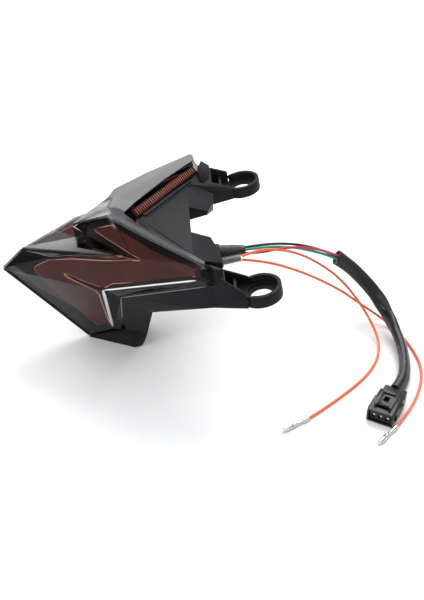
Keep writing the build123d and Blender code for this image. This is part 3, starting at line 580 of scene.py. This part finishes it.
def fold_line(keys, inset, ups, radius=4.0, step=1.5):
    """Points along a broken line of cage vertices, its corners rounded, with a direction at each point."""
    p = [vec(LV[k]) for k in keys]
    line = []
    for a, b in zip(p, p[1:]):
        n = max(2, round((b - a).length / step))
        line += [a.lerp(b, i / n) for i in range(n)]
    line.append(p[-1])
    k = max(1, int(radius / step))
    soft = []
    for i in range(len(line)):
        w = min(k, i, len(line) - 1 - i)
        pts = line[i - w:i + w + 1]
        soft.append(sum(pts, Vector((0, 0, 0))) / len(pts))
    dirs = []
    for i, q in enumerate(soft):
        f = i / (len(soft) - 1) * (len(ups) - 1)
        j = min(int(f), len(ups) - 2)
        dirs.append(vec(ups[j]).lerp(vec(ups[j + 1]), f - j).normalized())
    return [q - d * inset for q, d in zip(soft, dirs)], dirs


BORDER = [("A", "K", "KM", 9.0), ("A", "B", "R1", 8.0), ("K", "KM", "A", 5.0), ("M", "Q1", "M4", 5.0), ("Q1", "Q2", "M4", 5.0), ("Q2", "T", "M4", 5.0),
          ("T", "L", "M4", 6.0), ("L", "J", "M4", 3.5), ("J", "KM", "A", 3.5), ("B", "F", "R1", 12.0)]


def liner(o, mat, depth=2.7):
    """Opaque band printed inside the clear wall along its border."""
    me = o.data
    slot = len(me.materials)
    me.materials.append(mat)
    bm = bmesh.new()
    bm.from_mesh(me)
    for side in (1, -1):
        for ka, kb, kc, wide in BORDER:
            a, b, c = (vec((LV[k][0] * side, LV[k][1], LV[k][2])) for k in (ka, kb, kc))
            n = (b - a).cross(c - a).normalized()
            if n.dot((a + b + c) / 3 - vec((0, 10, 70))) < 0:
                n = -n
            tall = ((c - a) - (b - a) * ((c - a).dot(b - a) / (b - a).length_squared)).length
            f = min(0.95, wide / tall)
            quad = [a, b, b.lerp(c, f), a.lerp(c, f)]
            lo = [bm.verts.new((q - n * depth) * MM) for q in quad]
            hi = [bm.verts.new((q - n * (depth + 0.4)) * MM) for q in quad]
            made = [bm.faces.new(lo), bm.faces.new(hi[::-1])] + [bm.faces.new((lo[i], hi[i], hi[(i + 1) % 4], lo[(i + 1) % 4])) for i in range(4)]
            for q in made:
                q.material_index = slot
            bmesh.ops.recalc_face_normals(bm, faces=made)
    bm.to_mesh(me)
    bm.free()


# mirror-bright beads along the L-J and J-KM folds of the lens: painted highlight lines, not a trim the lens has
folds = []
for side in (1, -1):
    flip = lambda q: Vector((q.x * side, q.y, q.z))
    for keys, ups, inset, hw, hh in ((("L", "J"), [(0.87, -0.48, -0.10), (0.86, -0.44, -0.20)], 0.35, 0.95, 0.55),
                                     (("J", "KM"), [(0.86, -0.36, -0.36), (0.86, -0.32, -0.42)], 0.0, 1.55, 0.70)):
        pts, dirs = fold_line(keys, inset, ups)
        n = len(pts)
        a, b = (int(n * 0.04), n) if keys[0] == "L" else (0, int(n * 0.97))
        folds.append(([flip(q) for q in pts[a:b]], [flip(q) for q in dirs[a:b]], hw, hh))
bead(lens, folds, M_FOLD_HIGHLIGHT)
# beads along the skirt's foot (Lb-Jb-Kb): a real rim, drawn light grey as a painted highlight
seams = []
for side in (1, -1):
    flip = lambda q: Vector((q.x * side, q.y, q.z))
    for keys, share in ((("Lb", "Jb"), (0.04, 1.0)), (("Jb", "Kb"), (0.0, 0.62))):
        pts, dirs = fold_line(keys, -0.1, [(0.85, -0.22, -0.46), (0.88, -0.15, -0.44)])
        a, b = int(len(pts) * share[0]), int(len(pts) * share[1])
        seams.append(([flip(q) for q in pts[a:b]], [flip(q) for q in dirs[a:b]], 0.40, 0.30))
bead(lens, seams, M_SEAM_HIGHLIGHT)
liner(lens, M_BEZEL)

CV = {
    "P": (0, -50.4, 111.9), "C": (0, -21.5, 127.9), "S": (0, -7.9, 120.7),
    "Q1": (14.5, -20.9, 127.4), "Q2": (24.4, -15.8, 129.9), "E2": (54.7, 12.8, 129.2), "T": (88.6, 48.4, 127.6),
    "U": (89.4, 51.4, 126.6), "F4": (83.2, 52.4, 124.6), "F2": (50.0, 26.4, 123.8), "F1": (16.5, 1.6, 121.2),
    "G1": (17.0, -10.5, 126.6), "G2": (52.0, 19.5, 127.6),
}
CT = [("P", "Q1", "C"), ("Q1", "G1", "C"), ("Q1", "Q2", "G1"), ("C", "G1", "S"), ("G1", "F1", "S"), ("Q2", "E2", "G1"), ("E2", "G2", "G1"), ("G1", "G2", "F1"),
      ("G2", "F2", "F1"), ("E2", "T", "G2"), ("G2", "T", "F2"), ("T", "F4", "F2"), ("T", "U", "F4")]
COVER_W = {("P", "C"): 0.7, ("Q1", "C"): 0.8, ("Q1", "G1"): 0.8, ("C", "G1"): 0.7, ("C", "S"): 0.6, ("G1", "S"): 0.7, ("G1", "G2"): 0.8, ("G1", "F1"): 0.6,
           ("G2", "T"): 0.7, ("Q2", "G1"): 0.8, ("E2", "G1"): 0.8, ("E2", "G2"): 0.8, ("G2", "F1"): 0.6, ("G2", "F2"): 0.6, ("T", "F2"): 0.4, ("T", "F4"): 0.3}
cover = surface("top_cover_shape", CV, CT, (0, 0, 60), {}, 1.2, 2.3, M_GLOSS)
cover.modifiers.clear()
bm = bmesh.new()
bm.from_mesh(cover.data)
bmesh.ops.subdivide_edges(bm, edges=bm.edges, cuts=3, smooth=0.0, use_grid_fill=True)
for _ in range(3):
    bmesh.ops.smooth_vert(bm, verts=[q for q in bm.verts if not q.is_boundary], factor=0.5, use_axis_x=False, use_axis_y=False, use_axis_z=True)
bm.to_mesh(cover.data)
bm.free()
w = cover.modifiers.new("wall", "SOLIDIFY")
w.thickness = 2.3 * MM
w.offset = -1.0
bevel_mod(cover, 0.6, 3, 50)
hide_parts("top_cover")

# ---------------------------------------------------------------- pieces that keep the CAD shape, with rounded edges
# the housing's rounded edges take the lighter copy of its black as a painted highlight
housing = from_node("housing", [M_HOUSING, M_HOUSING_EDGE_HIGHLIGHT], width=0.8, segments=3, angle=22)
housing.modifiers["bevel"].material = 1
bm = bmesh.new()
bm.from_mesh(housing.data)
inside = lambda q: 19.0 < q.co.x / MM < 63.0 and 46.0 < q.co.y / MM < 69.0 and 88.0 < q.co.z / MM < 114.0
soft = [e for e in bm.edges if all(inside(q) for q in e.verts) and len(e.link_faces) == 2 and e.is_convex and e.calc_face_angle(0.0) > math.radians(20)
        and e.calc_length() > 3.0 * MM]
bmesh.ops.bevel(bm, geom=soft, offset=3.0 * MM, offset_type="OFFSET", segments=4, profile=0.5, affect="EDGES", clamp_overlap=True)
for side in (1, -1):
    a, b = vec((9.0 * side, 7.0, 112.6)), vec((66.0 * side, 46.2, 112.6))
    t = (b - a).normalized()
    w = Vector((t.y, -t.x, 0)) * side
    for out, high, wide in ((0.0, 1.0, 3.4), (-4.6, 0.5, 1.0)):
        c = [a + w * out, b + w * out, b + w * (out - wide), a + w * (out - wide)]
        lo = [bm.verts.new(q * MM) for q in c]
        hi = [bm.verts.new((q + Vector((0, 0, high + 0.4))) * MM) for q in c]
        made = [bm.faces.new(lo[::-1]), bm.faces.new(hi)] + [bm.faces.new((lo[i], lo[(i + 1) % 4], hi[(i + 1) % 4], hi[i])) for i in range(4)]
        bmesh.ops.recalc_face_normals(bm, faces=made)
bm.to_mesh(housing.data)
bm.free()
arrow = from_node("arrow_trim", M_TRIM_GREY_AND_SHEEN, width=0.35, segments=2, angle=25)
bezel = from_node("inner_bezel", M_BEZEL, width=0.0)
boot = from_node("wire_boot", M_RUBBER, width=0.4, segments=2, angle=35)
for n in ("lens_seal_right", "lens_seal_left"):
    from_node(n, M_RUBBER, width=0.3, segments=2, angle=30)
for n in ("led_board_right", "led_board_left"):
    from_node(n, M_BOARD, width=0.0)
for n in ("leds_right", "leds_left"):
    from_node(n, M_CHIP, width=0.15, segments=2, angle=40)
conn = from_node("connector_housing", M_CONN, width=0.35, segments=2, angle=30)
lever = from_node("connector_lever", M_CONN, body=LEVER, width=0.25, segments=2, angle=30)
retainer = from_node("connector_retainer", M_CONN, width=0.25, segments=2, angle=30)
cseal = from_node("connector_seal", M_RUBBER, width=0.3, segments=2, angle=30)
contacts = from_node("connector_contacts", M_TIN, width=0.2, segments=2, angle=30)
bullets = [from_node(n, M_TIN, width=0.15, segments=2, angle=40) for n in ("bullet_terminal_right", "bullet_terminal_left")]

# light guides: front outline rounded over, its bevelled edge given a bright copper colour and a strong glow as a
# painted highlight, the far-arm top walls left out
D = Vector((0.7374, -0.5481, 0.3946)).normalized()
for n, side in (("z_diffuser_right", 1), ("z_diffuser_left", -1)):
    o = from_node(n, [M_DIFF, M_DIFF_EDGE_HIGHLIGHT], width=0.0)
    d = Vector((D.x * side, D.y, D.z))
    bm = bmesh.new()
    bm.from_mesh(o.data)
    bm.normal_update()
    rim = []
    for e in bm.edges:
        if len(e.link_faces) == 2:
            k = [f.normal.dot(d) for f in e.link_faces]
            mid = (e.verts[0].co + e.verts[1].co) / 2 / MM
            if ((k[0] > 0.3 and abs(k[1]) < 0.2) or (k[1] > 0.3 and abs(k[0]) < 0.2)) and not (mid.y > -14.0 and mid.z > 112.0 + 0.02 * mid.y):
                rim.append(e)
    bmesh.ops.bevel(bm, geom=rim, offset=0.60 * MM, offset_type="OFFSET", segments=2, profile=0.5, affect="EDGES", material=1, clamp_overlap=False)
    bm.to_mesh(o.data)
    bm.free()
    o.data.shade_smooth()
    w = o.modifiers.new("normals", "WEIGHTED_NORMAL")

# ribbed upper strips
STRIP = [(9.0, -2.6, 118.0), (80.5, 50.6, 120.6), (76.0, 54.8, 116.6), (3.6, 2.8, 113.6)]
for side, n in ((1, "upper_strip_right"), (-1, "upper_strip_left")):
    q = [vec(p if side > 0 else mir(p)) for p in STRIP]
    q = [q[3].lerp(q[0], 1.0), q[2].lerp(q[1], 1.0), q[2].lerp(q[1], 0.16), q[3].lerp(q[0], 0.16)]
    q = [c - Vector((0, 0, 0.6)) for c in q]
    base = [c.copy() for c in q] + [c - Vector((0, 0, 2.0)) for c in q]
    o = make(n + "_shape", base, [(0, 1, 2, 3), (7, 6, 5, 4), (0, 4, 5, 1), (1, 5, 6, 2), (2, 6, 7, 3), (3, 7, 4, 0)], M_STRIP, smooth=False)
    bm = bmesh.new()
    bm.from_mesh(o.data)
    bmesh.ops.recalc_face_normals(bm, faces=bm.faces)
    bm.to_mesh(o.data)
    bm.free()
    bevel_mod(o, 0.3, 2, 30)
    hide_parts(n)
    verts, faces = [], []
    count = 35
    for i in range(count):
        u0, u1 = (i + 0.38) / count, (i + 0.60) / count
        if u0 < 0.035 or u1 > 0.975:
            continue
        lo0, lo1 = q[3].lerp(q[2], u0), q[3].lerp(q[2], u1)
        hi0, hi1 = q[0].lerp(q[1], u0), q[0].lerp(q[1], u1)
        up = (q[1] - q[0]).cross(q[3] - q[0]).normalized()
        if up.z < 0:
            up = -up
        b = len(verts)
        rows = 5
        for j in range(rows):
            f = j / (rows - 1)
            lift = 1.0 * math.sin(math.pi * (0.12 + 0.76 * f))
            a0, a1 = lo0.lerp(hi0, 0.04 + 0.92 * f), lo1.lerp(hi1, 0.04 + 0.92 * f)
            mid = a0.lerp(a1, 0.5)
            verts += [a0 - up * 0.4, a0.lerp(mid, 0.35) + up * lift * 0.8, mid + up * lift, a1.lerp(mid, 0.35) + up * lift * 0.8, a1 - up * 0.4]
        for j in range(rows - 1):
            for k in range(4):
                faces.append((b + j * 5 + k, b + j * 5 + k + 1, b + j * 5 + k + 6, b + j * 5 + k + 5))
            faces.append((b + j * 5 + 4, b + j * 5, b + j * 5 + 5, b + j * 5 + 9))
        faces.append(tuple(b + k for k in (4, 3, 2, 1, 0)))
        faces.append(tuple(b + (rows - 1) * 5 + k for k in range(5)))
    ribs = make(n + "_ribs", verts, faces, M_RIB)
    bm = bmesh.new()
    bm.from_mesh(ribs.data)
    bmesh.ops.recalc_face_normals(bm, faces=bm.faces)
    bm.to_mesh(ribs.data)
    bm.free()

# ---------------------------------------------------------------- sleeves at the housing
EXIT, EXIT_DIR = vec((27.0, 61.6, 97.4)), vec((-0.04, 1.0, 0.02)).normalized()
start = EXIT - EXIT_DIR * 9.6
line = [start + EXIT_DIR * (35.6 * i / 60) for i in range(61)]


def sleeve_radius(s, w):
    r = 5.45 if s < 0.55 else 5.45 - 1.35 * ((s - 0.55) / 0.45) ** 1.3
    if s > 0.4:
        k = min(1.0, (s - 0.4) / 0.3)
        r += 0.22 * k * noise.noise(Vector((s * 9, math.cos(w) * 2.1, math.sin(w) * 2.1)))
        r -= 0.18 * k * abs(math.sin(w * 1.5 + s * 9))
    return min(r, 5.48)


sleeve = loft("harness_sleeve_shape", line, sleeve_radius, M_SHRINK, 40)
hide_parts("harness_sleeve")
c0, c1 = vec((35.4, 58.0, 91.4)), vec((36.0, 84.5, 97.0))
line = [c0.lerp(c1, i / 50) for i in range(51)]


def film_radius(s, w):
    r = 3.2 * (0.92 + 0.08 * math.sin(2 * w + 3 * s))
    r += 0.12 * noise.noise(Vector((s * 14 + 5, math.cos(w) * 2.6, math.sin(w) * 2.6)))
    return min(r, 3.29)


clear = loft("clear_sleeve_shape", line, film_radius, M_CLEAR, 36, cap=0.3)
core = loft("core", line[:49], lambda s, w: 2.45 + 0.25 * math.cos(2 * w + s) - 0.5 * s * s, M_SHRINK, 24, cap=0.1)
me = clear.data
me.materials.append(M_SHRINK)
bm = bmesh.new()
bm.from_mesh(me)
before = set(bm.faces)
bm.from_mesh(core.data)
for f in bm.faces:
    if f not in before:
        f.material_index = 1
bm.to_mesh(me)
bm.free()
bpy.data.objects.remove(core)
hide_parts("clear_sleeve")

# ---------------------------------------------------------------- cord lengths, worked out and not used
for name, pts in (("wire_green", GREEN), ("wire_black", BLACK), ("wire_red", RED)):
    arc_length(spline_points(pts)) * MM
for name, pts, b in (("wire_orange_right", ORANGE_A, bullets[0]), ("wire_orange_left", ORANGE_B, bullets[1])):
    arc_length(spline_points(pts)) * MM

# ---------------------------------------------------------------- floor, light
floor_mat, nt, out = new_mat("pale_floor")
p = node(nt, "ShaderNodeBsdfPrincipled")
p.inputs["Roughness"].default_value = 0.9
p.inputs["Specular IOR Level"].default_value = 0.1
fl = noise_tex(nt, coords(nt), 3.0)
nt.links.new(ramp(nt, fl.outputs["Fac"], [(0.3, (0.86, 0.86, 0.86)), (0.7, (0.88, 0.88, 0.88))]), p.inputs["Base Color"])
nt.links.new(p.outputs["BSDF"], out.inputs["Surface"])
fm = bpy.data.meshes.new("floor")
fm.from_pydata([(-8, -8, 0), (8, -8, 0), (8, 8, 0), (-8, 8, 0)], [], [(0, 1, 2, 3)])
floor = bpy.data.objects.new("floor", fm)
scene.collection.objects.link(floor)
fm.materials.append(floor_mat)

world = bpy.data.worlds.new("studio")
scene.world = world
world.use_nodes = True
world.node_tree.nodes["Background"].inputs["Color"].default_value = (0.95, 0.97, 1.0, 1)
world.node_tree.nodes["Background"].inputs["Strength"].default_value = 0.50


def area(name, at, target, size, power, shape="RECTANGLE"):
    l = bpy.data.lights.new(name, "AREA")
    l.shape = shape
    l.size, l.size_y = size
    l.energy = power
    o = bpy.data.objects.new(name, l)
    scene.collection.objects.link(o)
    o.location = at
    o.rotation_euler = (Vector(target) - Vector(at)).to_track_quat("-Z", "Y").to_euler()
    return o


area("overhead", (0.1, 0.3, 1.8), (0, 0.05, 0.05), (2.4, 2.4), 21)
area("behind", (-1.05, 0.55, 1.45), (0, 0.0, 0.08), (1.5, 1.3), 26)
area("tip_side", (-1.3, -0.65, 0.62), (0, -0.03, 0.1), (1.0, 0.8), 8)
area("front_left", (0.9, -1.2, 0.9), (0, 0, 0.08), (0.7, 0.7), 9)
